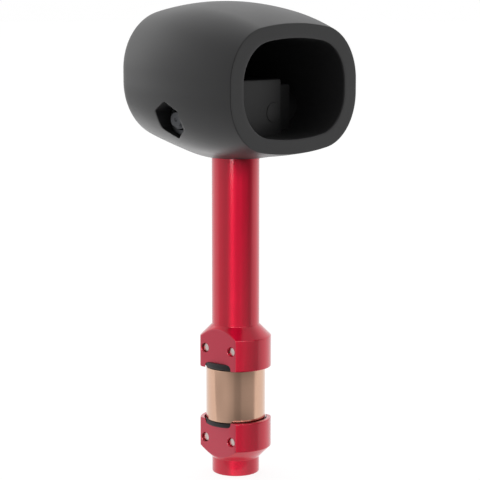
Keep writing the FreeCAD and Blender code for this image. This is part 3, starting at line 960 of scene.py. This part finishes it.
corners = ((-1, 1), (1, 1), (1, -1), (-1, -1))
floor_mesh = bpy.data.meshes.new("white_sheet")
floor_mesh.from_pydata(
    [(right * aside + level * near) * SHEET_SIZE + SHEET_DROP for aside, near in corners], [], [(0, 1, 2, 3)]
)
floor = bpy.data.objects.new("white_sheet", floor_mesh)
bpy.context.scene.collection.objects.link(floor)
print("sheet", 2 * SHEET_SIZE, "m wide, for the camera alone from", SHEET_FRONT, "m in front")

# %% The sheet's paper
WHITE_SHARE, WHITE_STRENGTH = 0.82, 1.1

paper, tree, where = new_material("white_paper_sheet")
ray = add_node(tree, "ShaderNodeLightPath").outputs
seen = ray["Is Camera Ray"]
for kind in ("Is Glossy Ray", "Is Transmission Ray"):
    seen = add_node(tree, "ShaderNodeMath", {0: seen, 1: ray[kind]}, operation="MAXIMUM").outputs[0]
share = add_node(tree, "ShaderNodeMath", {0: seen, 1: WHITE_SHARE}, operation="MULTIPLY")
lit = add_node(tree, "ShaderNodeBsdfDiffuse", {"Color": colour("#F4F4F4")})
glow = add_node(tree, "ShaderNodeEmission", {"Color": colour("#FFFFFF"), "Strength": WHITE_STRENGTH})
sheet = add_node(tree, "ShaderNodeMixShader", {0: share.outputs[0], 1: lit.outputs[0], 2: glow.outputs[0]})
ahead = add_node(tree, "ShaderNodeVectorMath", {0: where, 1: tuple(level)}, operation="DOT_PRODUCT")
ahead = add_node(tree, "ShaderNodeMath", {
    0: ahead.outputs["Value"], 1: SHEET_FRONT}, operation="GREATER_THAN")
clear = add_node(tree, "ShaderNodeMath", {
    0: ahead.outputs[0], 1: ray["Is Camera Ray"]}, operation="SUBTRACT")
gone = add_node(tree, "ShaderNodeBsdfTransparent")
shader = add_node(tree, "ShaderNodeMixShader", {0: clear.outputs[0], 1: sheet.outputs[0], 2: gone.outputs[0]})
add_node(tree, "ShaderNodeOutputMaterial", {"Surface": shader.outputs[0]})
floor_mesh.materials.append(paper)
print(paper.name, "on", floor.name)

# %% [markdown]
# The world is the room: a brightness for each direction, written as two rings of light. The upright
# metal mirrors a narrow ring just below eye level, so that one holds the bands. The other holds for all
# other heights and lights the matt head, and a ceiling closes it. A picture of a studio could light the
# beater too, but a few steps of grey are enough, and they can be read. Each ring is a list of degrees
# from the camera's side, with a brightness.

# %% Brightness of the room
EYE_LEVEL = (
    (-180, 1.0), (-98, 1.0), (-94, 0.62), (-60, 0.60), (-40, 0.66), (-24, 0.60), (-8, 0.50), (-4, 0.38),
    (18, 0.34), (24, 0.48), (77, 0.54), (81, 1.0), (180, 1.0),
)
OTHER_HEIGHTS = (
    (-180, 1.0), (-75, 0.95), (-50, 0.60), (-20, 0.29), (8, 0.13), (75, 0.11), (90, 0.40), (112, 1.0),
    (180, 1.0),
)
EYE_LEVEL_SHARES = ((-1, 0), (-0.45, 0), (-0.3, 1), (-0.12, 1), (0, 0), (1, 0))
CEILING_SHARES = ((-1, 0), (0.6, 0), (0.9, 1), (1, 1))
CEILING = 0.6

world = bpy.data.worlds.new("white_room")
bpy.context.scene.world = world
world.use_nodes = True
tree = world.node_tree
tree.nodes.clear()
direction = add_node(tree, "ShaderNodeTexCoord").outputs["Generated"]
height = add_node(tree, "ShaderNodeSeparateXYZ", {"Vector": direction}).outputs["Z"]
height = add_node(tree, "ShaderNodeMapRange", {"Value": height, "From Min": -1.0, "From Max": 1.0})
to_camera = add_node(tree, "ShaderNodeVectorMath", {0: direction, 1: tuple(level)}, operation="DOT_PRODUCT")
to_right = add_node(tree, "ShaderNodeVectorMath", {0: direction, 1: tuple(right)}, operation="DOT_PRODUCT")
azimuth = add_node(tree, "ShaderNodeMath", {
    0: to_right.outputs["Value"], 1: to_camera.outputs["Value"]}, operation="ARCTAN2")
azimuth = add_node(tree, "ShaderNodeMapRange", {
    "Value": azimuth.outputs[0], "From Min": -np.pi, "From Max": np.pi})
print(world.name, "with bands at", [degrees for degrees, _ in EYE_LEVEL[1:-1]], "degrees")


# %% World: the rings mixed by height
def graded(share, stops):
    """Grey that changes along the share: each stop is its (position, value)."""
    ramp = add_node(tree, "ShaderNodeValToRGB", {"Fac": share})
    marks = ramp.color_ramp.elements
    for position, value in stops[1:-1]:
        marks.new(position).color = (value, value, value, 1)
    marks[0].color, marks[-1].color = [(value, value, value, 1) for _, value in (stops[0], stops[-1])]
    return ramp.outputs["Color"]


def round_the_beater(bands):
    """Brightness by direction: degrees from -180 to 180 become shares of a full turn."""
    return graded(azimuth.outputs["Result"], [(degrees / 360 + 0.5, value) for degrees, value in bands])


def by_height(shares):
    """Share by height: the Z of a direction, from -1 to 1, becomes a share from 0 to 1."""
    return graded(height.outputs["Result"], [((z + 1) / 2, value) for z, value in shares])


walls = add_node(tree, "ShaderNodeMix", {
    "Factor": by_height(EYE_LEVEL_SHARES),
    "A": round_the_beater(OTHER_HEIGHTS), "B": round_the_beater(EYE_LEVEL)}, data_type="RGBA")
room = add_node(tree, "ShaderNodeMix", {
    "Factor": by_height(CEILING_SHARES),
    "A": walls.outputs["Result"], "B": (CEILING, CEILING, CEILING, 1)}, data_type="RGBA")
light = add_node(tree, "ShaderNodeBackground", {"Color": room.outputs["Result"], "Strength": 1.0})
add_node(tree, "ShaderNodeOutputWorld", {"Surface": light.outputs[0]})
print("room of", len(tree.nodes), "nodes")

# %% [markdown]
# A few soft lamps finish the light. A strip at the left draws the long highlight down the stem, and two
# low fills bring out its red, so all three are kept to the red pieces. One lamp at the rear left gives
# the head its edge. A glow from the bright table lights its underside. That lamp stands under the sheet,
# so only head and stem may stop it. The last lamp, high at the rear, lights everything and throws the
# soft shadow.

# %% Lamp helpers
AIM = Vector((0, 0, 0.08))


def lamp(name, azimuth, elevation, distance, size, watts):
    """Area lamp that faces the beater, placed by its angles from the camera's own direction."""
    turn, tilt = CAMERA_AZIMUTH + np.radians(azimuth), np.radians(elevation)
    away = Vector((np.sin(turn) * np.cos(tilt), -np.cos(turn) * np.cos(tilt), np.sin(tilt)))
    data = bpy.data.lights.new(name, "AREA")
    data.shape, data.size, data.size_y, data.energy = "RECTANGLE", size[0], size[1], watts
    made = bpy.data.objects.new(name, data)
    made.location = AIM + away * distance
    made.rotation_mode = "QUATERNION"
    made.rotation_quaternion = away.to_track_quat("Z", "Y")
    bpy.context.scene.collection.objects.link(made)
    print(name, "at", [round(c, 2) for c in made.location])
    return made


def flagged(made, lit, shading=()):
    """Keeps a lamp's light to the lit pieces, as a photographer does with flags.

    Where shading pieces are named, only they stop the light.
    """
    for kind, names in (("receiver", lit), ("blocker", shading)):
        if names:
            group = bpy.data.collections.new(f"{made.name}_{kind}")
            for name in names:
                group.objects.link(bpy.data.objects[name])
            setattr(made.light_linking, f"{kind}_collection", group)


# %% Lamps: degrees round and up, distance and size in metres, watts
RED, HEAD = red_pieces, ("head_moulding",)
flagged(lamp("left_strip", -18, 18, 0.9, (0.25, 0.5), 2.4), RED)
flagged(lamp("front_fill", 6, 18, 0.9, (0.7, 0.3), 2.8), RED)
flagged(lamp("right_fill", 42, 18, 0.9, (0.7, 0.3), 1.8), RED)
flagged(lamp("left_rear", -115, 20, 1.0, (0.6, 0.8), 1.8), HEAD)
flagged(lamp("table_glow", -160, -30, 1.0, (0.8, 0.4), 1.6), HEAD, HEAD + RED)
lamp("rear_top", -165, 55, 1.1, (1.2, 1.2), 3.0)
bpy.context.scene.view_settings.view_transform = "Standard"
